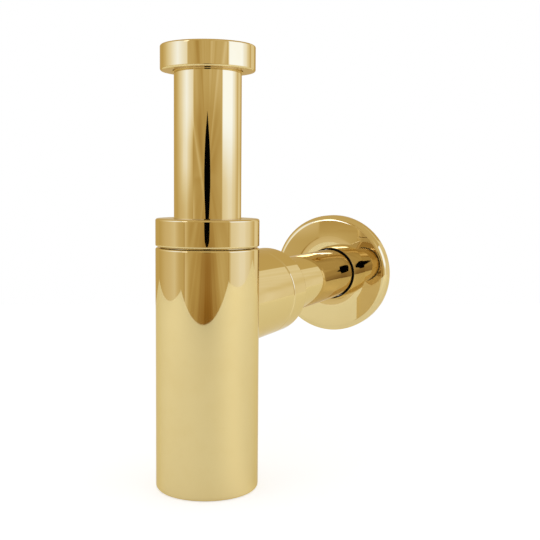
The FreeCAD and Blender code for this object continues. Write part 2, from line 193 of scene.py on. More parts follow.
# a piece turned from its half section: every point of the section goes round the axis
def makeTurnedTree():
    tree = bpy.data.node_groups.new("turnedPiece", "GeometryNodeTree")
    face = tree.interface
    for name, kind in (("Section", "Geometry"), ("Segments", "Int"), ("Thread Pitch", "Float"),
                       ("Outside", "Material"), ("Inside", "Material")):
        face.new_socket(name, in_out="INPUT", socket_type="NodeSocket" + kind)
    face.new_socket("Piece", in_out="OUTPUT", socket_type="NodeSocketGeometry")
    into = addNode(tree, "NodeGroupInput")
    out = addNode(tree, "NodeGroupOutput")
    section = into.outputs["Section"]
    segments = into.outputs["Segments"]

    count = addNode(tree, "GeometryNodeAttributeDomainSize", component="MESH")
    feed(tree, count.inputs["Geometry"], section)
    perRow = calc(tree, "ADD", segments, 1, "FunctionNodeIntegerMath")
    grid = addNode(tree, "GeometryNodeMeshGrid")
    feed(tree, grid.inputs["Vertices X"], count.outputs["Point Count"])
    feed(tree, grid.inputs["Vertices Y"], perRow)
    index = addNode(tree, "GeometryNodeInputIndex").outputs[0]
    row = calc(tree, "DIVIDE_FLOOR", index, perRow, "FunctionNodeIntegerMath")
    column = calc(tree, "MODULO", index, perRow, "FunctionNodeIntegerMath")

    def fromSection(dataType, field):
        sample = addNode(tree, "GeometryNodeSampleIndex", data_type=dataType, domain="POINT")
        feed(tree, sample.inputs["Geometry"], section)
        feed(tree, sample.inputs["Value"], field)
        feed(tree, sample.inputs["Index"], row)
        return sample.outputs["Value"]

    def attribute(name):
        node = addNode(tree, "GeometryNodeInputNamedAttribute", data_type="FLOAT")
        node.inputs["Name"].default_value = name
        return node.outputs["Attribute"]

    position = addNode(tree, "GeometryNodeInputPosition").outputs[0]
    split = addNode(tree, "ShaderNodeSeparateXYZ")
    feed(tree, split.inputs[0], fromSection("FLOAT_VECTOR", position))
    height = split.outputs["Z"]
    turn = calc(tree, "DIVIDE", column, segments)
    angle = calc(tree, "MULTIPLY", turn, math.tau)

    # right-handed thread: a rounded crest that climbs one pitch in each turn
    phase = calc(tree, "SUBTRACT", calc(tree, "DIVIDE", height, into.outputs["Thread Pitch"]), turn)
    wave = calc(tree, "COSINE", calc(tree, "MULTIPLY", phase, math.tau))
    crest = calc(tree, "MULTIPLY", calc(tree, "ADD", wave, 1), 0.5)
    depth = fromSection("FLOAT", attribute("threadDepth"))
    radius = calc(tree, "ADD", split.outputs["X"], calc(tree, "MULTIPLY", depth, crest))

    spot = addNode(tree, "ShaderNodeCombineXYZ")
    feed(tree, spot.inputs["X"], calc(tree, "MULTIPLY", radius, calc(tree, "COSINE", angle)))
    feed(tree, spot.inputs["Y"], calc(tree, "MULTIPLY", radius, calc(tree, "SINE", angle)))
    feed(tree, spot.inputs["Z"], height)
    bent = addNode(tree, "GeometryNodeSetPosition")
    feed(tree, bent.inputs["Geometry"], grid.outputs["Mesh"])
    feed(tree, bent.inputs["Position"], spot.outputs[0])
    kept = addNode(tree, "GeometryNodeStoreNamedAttribute", data_type="FLOAT", domain="POINT")
    kept.inputs["Name"].default_value = "inside"
    feed(tree, kept.inputs["Geometry"], bent.outputs["Geometry"])
    feed(tree, kept.inputs["Value"], fromSection("FLOAT", attribute("inside")))
    sewn = addNode(tree, "GeometryNodeMergeByDistance")
    sewn.inputs["Distance"].default_value = lathing["sewDistance"]
    feed(tree, sewn.inputs["Geometry"], kept.outputs["Geometry"])
    smooth = addNode(tree, "GeometryNodeSetShadeSmooth")
    feed(tree, smooth.inputs["Geometry"], sewn.outputs["Geometry"])
    real = addNode(tree, "GeometryNodeRealizeInstances")
    feed(tree, real.inputs["Geometry"], smooth.outputs["Geometry"])
    coat = addNode(tree, "GeometryNodeSetMaterial")
    feed(tree, coat.inputs["Geometry"], real.outputs["Geometry"])
    feed(tree, coat.inputs["Material"], into.outputs["Outside"])
    lining = addNode(tree, "GeometryNodeSetMaterial")
    feed(tree, lining.inputs["Geometry"], coat.outputs["Geometry"])
    feed(tree, lining.inputs["Selection"], calc(tree, "GREATER_THAN", attribute("inside"), lathing["allInside"]))
    feed(tree, lining.inputs["Material"], into.outputs["Inside"])
    feed(tree, out.inputs["Piece"], lining.outputs["Geometry"])
    return tree


turnedTree = makeTurnedTree()
socketId = {item.name: item.identifier for item in turnedTree.interface.items_tree
            if item.in_out == "INPUT"}


# corners are (radius, height, rounding, kind of the stretch that follows); no rounding: a point of a curve
def roundedSection(corners, closed, pitch, depth):
    rows = []
    count = len(corners)
    hold = lathing["holdWidth"]
    fadeLength = lathing["threadFade"] * pitch
    places = [Vector(corner[:2]) for corner in corners]
    for i, (_, _, rounding, kind) in enumerate(corners):
        here = places[i]
        lined = kind == "inside"
        linedBefore = corners[i - 1][3] == "inside"
        if rounding is None or (not closed and i in (0, count - 1)):
            rows.append((here, 0, float(linedBefore if i else lined)))
            continue
        back = places[i - 1] - here
        ahead = places[(i + 1) % count] - here
        half = back.angle(ahead) / 2
        cut = min(rounding / math.tan(half), lathing["cutShare"] * back.length, lathing["cutShare"] * ahead.length)
        arcRadius = cut * math.tan(half)
        back.normalize()
        ahead.normalize()
        centre = here + (back + ahead).normalized() * (arcRadius / math.sin(half))
        first = here + back * cut - centre
        swing = first.angle_signed(here + ahead * cut - centre)
        steps = math.ceil(lathing["arcRate"] * math.sqrt(arcRadius))
        steps = max(lathing["fewestSteps"], min(lathing["mostSteps"], steps))
        rows.append((here + back * (cut + hold), 0, float(linedBefore)))
        for step in range(steps + 1):
            spoke = first.copy()
            spoke.rotate(Matrix.Rotation(-swing * step / steps, 2))
            rows.append((centre + spoke, 0, float(lined and linedBefore)))
        start = here + ahead * (cut + hold)
        rows.append((start, 0, float(lined)))
        if kind == "thread":
            reach = (places[(i + 1) % count] - here).length - 2 * (cut + hold)
            marks = max(2, round(reach / pitch * lathing["threadSteps"]))
            for mark in range(1, marks):
                along = reach * mark / marks
                fade = min(1, along / fadeLength, (reach - along) / fadeLength)
                rows.append((start + ahead * along, depth * fade, 0))
    if closed:
        rows.append(rows[0])
    return rows


def turnedMesh(name, corners, segments, outside, inside=None, closed=True,
               pitch=lathing["plainPitch"], depth=0):
    rows = roundedSection(corners, closed, pitch, depth)
    section = bpy.data.meshes.new(name + "Section")
    points = [(spot.x * mm, 0, spot.y * mm) for spot, _, _ in rows]
    section.from_pydata(points, [(i, i + 1) for i in range(len(points) - 1)], [])
    for title, column, scale in (("threadDepth", 1, mm), ("inside", 2, 1)):
        layer = section.attributes.new(title, "FLOAT", "POINT")
        layer.data.foreach_set("value", [row[column] * scale for row in rows])
    blank = bpy.data.objects.new(name + "Blank", section)
    scene.collection.objects.link(blank)
    lathe = blank.modifiers.new("lathe", "NODES")
    lathe.node_group = turnedTree
    lathe[socketId["Segments"]] = segments
    lathe[socketId["Thread Pitch"]] = pitch * mm
    lathe[socketId["Outside"]] = outside
    lathe[socketId["Inside"]] = inside or outside
    depsgraph = bpy.context.evaluated_depsgraph_get()
    mesh = bpy.data.meshes.new_from_object(blank.evaluated_get(depsgraph))
    bpy.data.objects.remove(blank)
    bpy.data.meshes.remove(section)
    mesh.name = name
    if "inside" in mesh.attributes:
        mesh.attributes.remove(mesh.attributes["inside"])
    work = bmesh.new()
    work.from_mesh(mesh)
    bmesh.ops.recalc_face_normals(work, faces=work.faces)
    work.to_mesh(mesh)
    work.free()
    return mesh


def place(name, mesh, body, node):
    piece = bpy.data.objects.new(name, mesh)
    scene.collection.objects.link(piece)
    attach(piece, body)
    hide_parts(node)
    print(name, "placed,", len(mesh.polygons), "faces")


# inlet: coupling nut, washer and dip tube
inletNut = {
    "outside": 22.5, "bottom": -5.5, "top": 6.5, "edge": 1.0, "segments": 256,
    "crest": 19.475, "mouth": 20.175, "mouthHeight": 5.8, "relief": 21.2, "web": -3.5, "hole": 16.5,
    "threadPitch": 2.309, "threadDepth": 1.2, "threadStart": 0, "holeEdge": 0.8,
    "mouthEdge": 0.12, "threadEdge": 0.1, "webEdge": 0.2, "innerEdge": 0.1,
}
n = inletNut
place("inletNut", turnedMesh("inletNut", [
    (n["outside"], n["bottom"], n["edge"], ""),
    (n["outside"], n["top"], n["edge"], ""),
    (n["mouth"], n["top"], n["mouthEdge"], ""),
    (n["crest"], n["mouthHeight"], n["threadEdge"], "thread"),
    (n["crest"], n["threadStart"], n["threadEdge"], "inside"),
    (n["relief"], n["threadStart"], n["threadEdge"], "inside"),
    (n["relief"], n["web"], n["webEdge"], "inside"),
    (n["hole"], n["web"], n["innerEdge"], ""),
    (n["hole"], n["bottom"], n["holeEdge"], ""),
], n["segments"], goldBrass, rawBrass, pitch=n["threadPitch"], depth=n["threadDepth"]),
    "inlet", "inlet_nut")

inletWasher = {"outside": 19.2, "inside": 14.5, "bottom": -2.0, "top": 0.0, "edge": 0.3, "segments": 160}
n = inletWasher
place("inletWasher", turnedMesh("inletWasher", [
    (n["outside"], n["bottom"], n["edge"], ""),
    (n["outside"], n["top"], n["edge"], ""),
    (n["inside"], n["top"], n["edge"], ""),
    (n["inside"], n["bottom"], n["edge"], ""),
], n["segments"], blackRubber), "inlet", "inlet_washer")

inletTube = {
    "outside": 16.0, "inside": 15.0, "bottom": -182.0, "top": -2.0, "flange": 18.8, "seat": -3.5,
    "end": 0.4, "innerEnd": 0.15, "seatEdge": 0.25, "flangeEdge": 0.2, "mouthEdge": 0.25, "segments": 256,
}
n = inletTube
place("inletTube", turnedMesh("inletTube", [
    (n["outside"], n["bottom"], n["end"], ""),
    (n["outside"], n["seat"], n["seatEdge"], ""),
    (n["flange"], n["seat"], n["flangeEdge"], ""),
    (n["flange"], n["top"], n["flangeEdge"], ""),
    (n["inside"], n["top"], n["mouthEdge"], "inside"),
    (n["inside"], n["bottom"], n["innerEnd"], ""),
], n["segments"], goldBrass, rawBrass), "inlet_tube", "inlet_tube")


# collar joint: nut, slip ring and tapered seal
collarNut = {
    "outside": 24.8, "bottom": -87.7, "top": -74.5, "edge": 1.0, "lowEdge": 1.1, "roof": -77.7, "holeEdge": 0.7,
    "hole": 16.3, "bore": 22.7, "threadPitch": 1.5, "threadDepth": 0.6, "segments": 256,
    "roofEdge": 0.2, "boreEdge": 0.25, "boreEnd": 0.3,
}
n = collarNut
place("collarNut", turnedMesh("collarNut", [
    (n["outside"], n["bottom"], n["lowEdge"], ""),
    (n["outside"], n["top"], n["edge"], ""),
    (n["hole"], n["top"], n["holeEdge"], ""),
    (n["hole"], n["roof"], n["roofEdge"], "inside"),
    (n["bore"], n["roof"], n["boreEdge"], "thread"),
    (n["bore"], n["bottom"], n["boreEnd"], ""),
], n["segments"], goldBrass, rawBrass, pitch=n["threadPitch"], depth=n["threadDepth"]),
    "collar_nut", "collar_nut")

slipRing = {"outside": 20.0, "inside": 16.1, "thickness": 1.5, "edge": 0.2, "segments": 160}
tapered = {
    "grip": 16.1, "thinEnd": 16.7, "thickEnd": 19.2, "depth": 4.5, "stand": 1.0, "segments": 160,
    "tipEdge": 0.15, "mouthEdge": 0.3, "topEdge": 0.25, "gripTop": 0.2, "gripTip": 0.1,
}


def slipRingMesh(name, start):
    n = slipRing
    end = start + n["thickness"]
    return turnedMesh(name, [
        (n["outside"], start, n["edge"], ""),
        (n["outside"], end, n["edge"], ""),
        (n["inside"], end, n["edge"], ""),
        (n["inside"], start, n["edge"], ""),
    ], n["segments"], whitePlastic)


def sealMesh(name, mouth):
    n = tapered
    return turnedMesh(name, [
        (n["thinEnd"], mouth - n["depth"], n["tipEdge"], ""),
        (n["thickEnd"], mouth, n["mouthEdge"], ""),
        (n["thickEnd"], mouth + n["stand"], n["topEdge"], ""),
        (n["grip"], mouth + n["stand"], n["gripTop"], ""),
        (n["grip"], mouth - n["depth"], n["gripTip"], ""),
    ], n["segments"], blackRubber)


collarJoint = {"sealTop": -79.2, "neckTop": -80.2}
place("collarSlipRing", slipRingMesh("collarSlipRing", collarJoint["sealTop"]),
      "collar_ring", "collar_slip_ring")
place("collarSeal", sealMesh("collarSeal", collarJoint["neckTop"]),
      "bottle", "collar_seal")


# bottle: cup and boss turned apart, joined, then bored through
bottle = {
    "outside": 24.8, "inside": 23.3, "bottom": -205.3, "floor": -203.3, "baseEdge": 2.2, "floorEdge": 1.5,
    "shoulder": -88.3, "shoulderEdge": 1.4, "roof": -91.2, "neck": 22.4, "neckTop": -80.2,
    "tubePass": 16.3, "seatTip": 16.8, "seatMouth": 19.3, "seatDepth": 4.6,
    "threadPitch": 1.5, "threadDepth": -0.55, "neckRoot": 0.2, "neckEdge": 0.4, "segments": 256,
    "roofEdge": 0.4, "passEdge": 0.2, "seatEdge": 0.1,
    "cutPast": 1.0,                            # cutters run past the open ends
    "sharpAngle": 28, "wallSlack": 0.012,      # for the normals
}
boss = {
    "outside": 23.5, "inside": 21.5, "reach": 57.8, "edge": 1.0, "nose": 20.95, "noseEnd": 70.7,
    "chamberEnd": 48.0, "stop": 15.0, "socket": 51.0, "segments": 240,
    "rootStart": 0.3, "boreStart": 0.7, "rootEdge": 0.1, "noseRoot": 0.2, "noseEdge": 0.4, "chamberEdge": 0.4,
    "stopEdge": 0.2,
}


def bottleMesh():
    n, b = bottle, boss
    beyond = n["cutPast"]
    flare = (n["seatMouth"] - n["seatTip"]) / n["seatDepth"]
    cup = turnedMesh("cup", [
        (0, n["bottom"], 0, ""),
        (n["outside"], n["bottom"], n["baseEdge"], ""),
        (n["outside"], n["shoulder"], n["shoulderEdge"], ""),
        (n["neck"], n["shoulder"], n["neckRoot"], "thread"),
        (n["neck"], n["neckTop"], n["neckEdge"], ""),
        (0, n["neckTop"], 0, ""),
    ], n["segments"], goldBrass, closed=False, pitch=n["threadPitch"], depth=n["threadDepth"])
    chamber = turnedMesh("chamber", [
        (0, n["floor"], 0, ""),
        (n["inside"], n["floor"], n["floorEdge"], ""),
        (n["inside"], n["roof"], n["roofEdge"], ""),
        (n["tubePass"], n["roof"], n["passEdge"], ""),
        (n["tubePass"], n["neckTop"] - n["seatDepth"], n["seatEdge"], ""),
        (n["seatTip"], n["neckTop"] - n["seatDepth"], n["seatEdge"], ""),
        (n["seatMouth"] + flare * beyond, n["neckTop"] + beyond, n["seatEdge"], ""),
        (0, n["neckTop"] + beyond, 0, ""),
    ], n["segments"], rawBrass, closed=False)
    stub = turnedMesh("stub", [
        (0, b["rootStart"], 0, ""),
        (b["outside"], b["rootStart"], b["rootEdge"], ""),
        (b["outside"], b["reach"], b["edge"], ""),
        (b["nose"], b["reach"], b["noseRoot"], "thread"),
        (b["nose"], b["noseEnd"], b["noseEdge"], ""),
        (0, b["noseEnd"], 0, ""),
    ], b["segments"], goldBrass, closed=False, pitch=n["threadPitch"], depth=n["threadDepth"])
    passage = turnedMesh("passage", [
        (0, b["boreStart"], 0, ""),
        (b["inside"], b["boreStart"], b["rootEdge"], ""),
        (b["inside"], b["chamberEnd"], b["chamberEdge"], ""),
        (b["stop"], b["chamberEnd"], b["stopEdge"], ""),
        (b["stop"], b["socket"], b["stopEdge"], ""),
        (n["tubePass"], b["socket"], b["stopEdge"], ""),
        (n["tubePass"], b["noseEnd"] - n["seatDepth"], n["seatEdge"], ""),
        (n["seatTip"], b["noseEnd"] - n["seatDepth"], n["seatEdge"], ""),
        (n["seatMouth"] + flare * beyond, b["noseEnd"] + beyond, n["seatEdge"], ""),
        (0, b["noseEnd"] + beyond, 0, ""),
    ], b["segments"], rawBrass, closed=False)
    whole = bpy.data.objects.new("joined", cup)
    scene.collection.objects.link(whole)
    tools = []
    stub.transform(layOnArm)
    passage.transform(layOnArm)
    for mesh, operation in ((stub, "UNION"), (chamber, "DIFFERENCE"), (passage, "DIFFERENCE")):
        tool = bpy.data.objects.new(mesh.name, mesh)
        scene.collection.objects.link(tool)
        tools.append(tool)
        step = whole.modifiers.new(mesh.name, "BOOLEAN")
        step.operation = operation
        step.solver = "EXACT"
        step.material_mode = "TRANSFER"
        step.object = tool
    depsgraph = bpy.context.evaluated_depsgraph_get()
    mesh = bpy.data.meshes.new_from_object(whole.evaluated_get(depsgraph))
    for extra in tools + [whole]:
        bpy.data.objects.remove(extra)
    mesh.name = "bottleBody"
    return mesh


# true round normals on the walls that the joining has cut across
def roundNormals(mesh):
    n, b = bottle, boss
    mesh.set_sharp_from_angle(angle=math.radians(n["sharpAngle"]))
    slack = n["wallSlack"]
    walls = (
        (False, n["outside"], 1, n["bottom"] + n["baseEdge"], n["shoulder"] - n["shoulderEdge"]),
        (False, n["inside"], -1, n["floor"] + n["floorEdge"], n["roof"] - n["roofEdge"]),
        (True, b["outside"], 1, 0, b["reach"] - b["edge"]),
        (True, b["inside"], -1, 0, b["chamberEnd"] - b["chamberEdge"]),
    )
    corners = [Vector(c.vector) for c in mesh.corner_normals]
    for face in mesh.polygons:
        x, y, z = face.center / mm
        for onArm, radius, sign, low, high in walls:
            across = math.hypot(x, z - armHeight) if onArm else math.hypot(x, y)
            along = y if onArm else z
            if abs(across - radius) > slack or not low - slack < along < high + slack:
                continue
            outward = Vector((x, 0, z - armHeight)) if onArm else Vector((x, y, 0))
            if face.normal.dot(outward) * sign < 0:
                continue
            for corner in face.loop_indices:
                spot = mesh.vertices[mesh.loops[corner].vertex_index].co
                spoke = Vector((spot.x, 0, spot.z - armHeight * mm)) if onArm else Vector((spot.x, spot.y, 0))
                corners[corner] = spoke.normalized() * sign
    mesh.normals_split_custom_set(corners)


bottleBody = bottleMesh()
roundNormals(bottleBody)
place("bottleBody", bottleBody, "bottle", "bottle_body")


# outlet joint: nut, slip ring and seal
outletNut = {
    "outside": 23.5, "start": 58.2, "end": 76.4, "edge": 1.0, "seamEdge": 1.0, "roof": 73.2,
    "hole": 16.8, "bore": 21.25, "threadPitch": 1.5, "threadDepth": 0.6, "segments": 256,
    "holeEdge": 0.25, "roofEdge": 0.2, "boreEdge": 0.25, "boreEnd": 0.3,
}
n = outletNut
outletNutMesh = turnedMesh("outletNut", [
    (n["outside"], n["start"], n["seamEdge"], ""),
    (n["outside"], n["end"], n["edge"], ""),
    (n["hole"], n["end"], n["holeEdge"], ""),
    (n["hole"], n["roof"], n["roofEdge"], "inside"),
    (n["bore"], n["roof"], n["boreEdge"], "thread"),
    (n["bore"], n["start"], n["boreEnd"], ""),
], n["segments"], goldBrass, rawBrass, pitch=n["threadPitch"], depth=n["threadDepth"])
outletJoint = {"sealTop": 71.7, "noseEnd": 70.7}
outletRingMesh = slipRingMesh("outletSlipRing", outletJoint["sealTop"])
outletSealMesh = sealMesh("outletSeal", outletJoint["noseEnd"])

outletPipe = {
    "outside": 16.0, "inside": 15.0, "start": 54.0, "end": 244.0, "edge": 0.4, "innerEdge": 0.2, "segments": 256,
}
n = outletPipe
outletPipeMesh = turnedMesh("outletPipe", [
    (n["outside"], n["start"], n["edge"], ""),
    (n["outside"], n["end"], n["edge"], ""),
    (n["inside"], n["end"], n["innerEdge"], "inside"),
    (n["inside"], n["start"], n["innerEdge"], ""),
], n["segments"], goldBrass, rawBrass)

# wall flange: pressed sheet, dished at the hole, flat in the middle, with a slightly coned border and a round rim
wallFlange = {
    "outside": 38.4, "front": 188.8, "back": 199.0, "rim": 3.5, "sheet": 1.0, "hole": 16.8, "holeEdge": 0.5,
    "dish": 0.2, "flatStart": 18.7, "flatEnd": 24.0, "bend": 15.0, "lean": 2.2,
    "skirtEdge": 0.2, "holeBack": 0.15, "bendSteps": 6, "rimSteps": 22, "segments": 320,
}


# one side of the sheet, from the hole out over the rim to the skirt
def flangeSide(inset, kind):
    n = wallFlange
    lean = math.radians(n["lean"])
    bendEnd = n["flatEnd"] + n["bend"] * math.sin(lean)
    bendFall = n["bend"] * (1 - math.cos(lean))
    rimAxis = n["outside"] - n["rim"]
    rimStart = rimAxis + n["rim"] * math.sin(lean)
    rimCentre = n["front"] + bendFall + (rimStart - bendEnd) * math.tan(lean) + n["rim"] * math.cos(lean)
    points = [(n["flatStart"], n["front"] + inset, None, kind)]
    for step in range(n["bendSteps"] + 1):
        turn = lean * step / n["bendSteps"]
        bend = n["bend"] - inset
        height = n["front"] + n["bend"] - bend * math.cos(turn)
        points.append((n["flatEnd"] + bend * math.sin(turn), height, None, kind))
    for step in range(n["rimSteps"] + 1):
        turn = lean + (math.pi / 2 - lean) * step / n["rimSteps"]
        bend = n["rim"] - inset
        points.append((rimAxis + bend * math.sin(turn), rimCentre - bend * math.cos(turn), None, kind))
    return points


n = wallFlange
wallFlangeMesh = turnedMesh("wallFlange", [
    (n["outside"], n["back"], n["skirtEdge"], ""),
    (n["outside"] - n["sheet"], n["back"], n["skirtEdge"], "inside"),
    *reversed(flangeSide(n["sheet"], "inside")),
    (n["hole"], n["front"] + n["sheet"], n["holeBack"], ""),
    (n["hole"], n["front"] + n["dish"], n["holeEdge"], ""),
    *flangeSide(0, ""),
], n["segments"], goldBrass, rawBrass)
flangeRing = {
    "inside": 16.1, "outside": 16.7, "front": 189.1, "seat": 189.8, "lip": 20.3, "lipFront": 189.88, "back": 192.3,
    "edge": 0.3, "seatEdge": 0.1, "segments": 192,
}
n = flangeRing
flangeRingMesh = turnedMesh("flangeRing", [
    (n["outside"], n["front"], n["edge"], ""),
    (n["outside"], n["seat"], n["seatEdge"], ""),
    (n["lip"], n["lipFront"], n["edge"], ""),
    (n["lip"], n["back"], n["edge"], ""),
    (n["inside"], n["back"], n["edge"], ""),
    (n["inside"], n["front"], n["edge"], ""),
], n["segments"], blackRubber)

for name, mesh, body, node, slot in (
    ("outletNut", outletNutMesh, "outlet_nut", "outlet_nut", "gold_brass"),
    ("outletSlipRing", outletRingMesh, "outlet_ring", "outlet_slip_ring", "white_plastic"),
    ("outletSeal", outletSealMesh, "bottle", "outlet_seal", "black_rubber"),
    ("outletPipe", outletPipeMesh, "outlet_pipe", "outlet_pipe", "gold_brass"),
    ("wallFlange", wallFlangeMesh, "wall_flange", "wall_flange", "gold_brass"),
    ("flangeRing", flangeRingMesh, "wall_flange", "flange_ring", "black_rubber"),
):
    mesh.transform(layOnArm)
    place(name, mesh, body, node)


# studio: a cloth light tent round the trap, seen only in the polish
tent = {
    "facing": 25.48,                                  # direction of the open front, degrees from -Y
    "frontTurn": -9, "frontAway": 585, "frontSpan": (-697, 847), "frontSteps": (480, 180),
    "rightTurn": 69, "rightAway": 950, "rightSpan": (-396, 1114), "rightSteps": (150, 60), "rightRise": (-90, 60),
    "left": -780, "leftSpan": (-700, 469), "leftSteps": (40, 60), "leftRise": (-96, -23, 49),
    "back": -700, "backSpan": (-780, 1286), "backSteps": (420, 60),
    "top": 520, "topSpan": (-700, 710), "topSteps": (8, 8), "topLevel": 0.62,
    "corners": ((469, -780), (-700, -780), (-700, 1286), (710, 745)),      # forward, then to the right
    "foldsAway": 538, "foldsLevel": -90,              # the front folds are drawn for this distance
    "lensHeight": -50, "lensAcross": -10,             # and run out from the lens
    "hemHeight": -91, "hemSlope": 0.187,              # a light hem that climbs to the left
}
facing = math.radians(tent["facing"])
toFront = Vector((math.sin(facing), -math.cos(facing), 0))
toRight = Vector((math.cos(facing), math.sin(facing), 0))
upward = Vector((0, 0, 1))
warmth = (                                            # brightness, then its green and blue
    (0.0, 0.0, 0.0), (0.3, 0.16, 0.04), (0.5, 0.37, 0.18), (0.6, 0.49, 0.30), (0.72, 0.63, 0.50),
    (0.8, 0.76, 0.72), (0.92, 0.93, 1.1), (1.0, 1.1, 1.6), (1.15, 1.4, 2.6), (6.0, 6.5, 8.5),
)


def heading(turn):
    return toFront * math.cos(math.radians(turn)) + toRight * math.sin(math.radians(turn))


# straight lines between the rows of a table
def readTable(table, key):
    if key <= table[0][0]:
        return table[0][1:]
    for low, high in zip(table, table[1:]):
        if key <= high[0]:
            share = (key - low[0]) / (high[0] - low[0])
            return tuple(a + (b - a) * share for a, b in zip(low[1:], high[1:]))
    return table[-1][1:]


def glowColour(level):
    return (level, *readTable(warmth, level), 1)


def ramp(value, low, high):
    share = min(1, max(0, (value - low) / (high - low)))
    return share * share * (3 - 2 * share)


def bell(value, middle, width):
    return math.exp(-((value - middle) / width) ** 2)


# wide folds with narrow ones on them: width, length, seed and strength of each
def gathers(folds, across, along):
    return sum(gain * noise.noise((across / width, along / length, seed)) for width, length, seed, gain in folds)


spokes = {
    "folds": ((7, 600, 1, 1), (2.6, 400, 6, 0.5)), "start": (60, 160),
    "hemWidth": 8, "hemStart": (60, 150),
    "creases": ((15.5, 2.2, 1), (50, 9, 1.1)),        # degrees round the lens, width, strength
    "shadeRise": (6, 30), "shadeMiddle": -250, "shadeWidth": 110,
    "foldGain": 0.07, "creaseGain": 0.12, "shadeGain": 0.1,
}


# cloth gathered round the lens: folds run out from it like spokes
def spokeFolds(across, height):
    s = spokes
    side = across - tent["lensAcross"]
    rise = height - tent["lensHeight"]
    turn = math.degrees(math.atan2(rise, side))
    reach = math.hypot(side, rise)
    hem = height - tent["hemHeight"] + tent["hemSlope"] * across
    onLeft = ramp(-side, *s["hemStart"])
    crease = bell(hem, 0, s["hemWidth"]) * onLeft
    for middle, width, gain in s["creases"]:
        crease += gain * bell(turn, middle, width)
    shade = ramp(hem, *s["shadeRise"]) * onLeft * bell(side, s["shadeMiddle"], s["shadeWidth"])
    depth = s["foldGain"] * gathers(s["folds"], turn, reach) + s["creaseGain"] * crease - s["shadeGain"] * shade
    return ramp(reach, *s["start"]) * depth


curtain = {
    "level": 0.53,
    "lightPatches": (                                      # gain, middle, width, and how far down it comes in
        (-0.2, 0, 150, (60, 150)), (-0.1, 0, 420, (150, 205)), (0.2, -600, 120, (40, 110)),
    ),
    "rightGain": 0.05, "rightStart": (150, 420),
    "leftGain": 0.35, "leftStart": (560, 664), "leftRise": (0, 45),
    "highGain": 0.08, "highRise": (-5, 45),
}


def curtainGlow(across, height):
    c = curtain
    level = c["level"]
    for gain, middle, width, fall in c["lightPatches"]:
        level += gain * bell(across, middle, width) * ramp(-height, *fall)
    level += c["rightGain"] * ramp(across, *c["rightStart"])
    level += c["leftGain"] * ramp(-across, *c["leftStart"]) * ramp(height, *c["leftRise"])
    level += c["highGain"] * ramp(height, *c["highRise"])
    return level + spokeFolds(across, height)


leftLevels = (                                        # degrees round to the left, level low, half way and high up
    (51, 0.58, 0.66, 0.95), (63, 0.63, 0.86, 1.02), (75, 0.78, 1.0, 1.1), (89, 0.73, 0.97, 1.0),
    (104, 0.69, 0.8, 0.88), (123, 0.6, 0.66, 0.7), (132, 0.58, 0.63, 0.66),
)


def leftLevel(turn, height):
    low, middle, high = readTable(leftLevels, turn)
    bottom, half, top = tent["leftRise"]
    return low + (middle - low) * ramp(height, bottom, half) + (high - middle) * ramp(height, half, top)


def leftGlow(depth, height):
    return leftLevel(math.degrees(math.atan2(-tent["left"], depth)), height)


seams = {                                             # where the curtain meets its neighbours
    "panel": (655, 670), "left": -664, "leftWidth": 13, "leftGain": 1.7,
    "rightInset": 12, "rightWidth": 11, "depth": 0.15, "fall": (75, 100),
}


# the curtain, then the pale panel that follows it on the left
def frontGlow(along, height):
    turn = math.radians(tent["frontTurn"]) + math.atan2(along, tent["frontAway"])
    across = tent["foldsAway"] * math.tan(turn)
    nearer = math.hypot(across, tent["foldsAway"]) / math.hypot(along, tent["frontAway"])
    level = curtainGlow(across, tent["foldsLevel"] + (height - tent["foldsLevel"]) * nearer)
    level += (leftLevel(-math.degrees(turn), height) - level) * ramp(-across, *seams["panel"])
    dark = seams["leftGain"] * bell(across, seams["left"], seams["leftWidth"])
    dark += bell(along, tent["frontSpan"][1] - seams["rightInset"], seams["rightWidth"])
    return level - seams["depth"] * dark * ramp(-height, *seams["fall"])


rightLevels = (                                       # degrees round from the front, level low down, level high up
    (47.5, 0.58, 0.6), (52, 0.84, 1.16), (60, 0.87, 1.18), (75, 0.94, 1.18), (88, 0.94, 1.18), (95, 0.88, 1.06),
    (104, 0.85, 1.0), (110, 0.77, 0.88), (116, 0.72, 0.8), (120, 0.68, 0.76),
)


def rightGlow(along, height):
    turn = tent["rightTurn"] + math.degrees(math.atan2(along, tent["rightAway"]))
    low, high = readTable(rightLevels, turn)
    return low + (high - low) * ramp(height, *tent["rightRise"])


backCloth = {
    "pale": 0.87, "beltDepth": 0.07, "beltHeight": -15, "beltWidth": 50,
    "folds": ((34, 900, 9, 1), (13, 500, 14, 0.5)), "foldGain": 0.045,
    "end": 0.67, "endStart": (960, 1010), "dark": 0.62, "paleStart": (480, 495),
}


# pale pleated cloth behind on the right, a darker one on the left
def backGlow(across, height):
    b = backCloth
    pale = b["pale"] - b["beltDepth"] * bell(height, b["beltHeight"], b["beltWidth"])
    pale += b["foldGain"] * gathers(b["folds"], across, height)
    pale -= (pale - b["end"]) * ramp(across, *b["endStart"])
    return b["dark"] + (pale - b["dark"]) * ramp(across, *b["paleStart"])


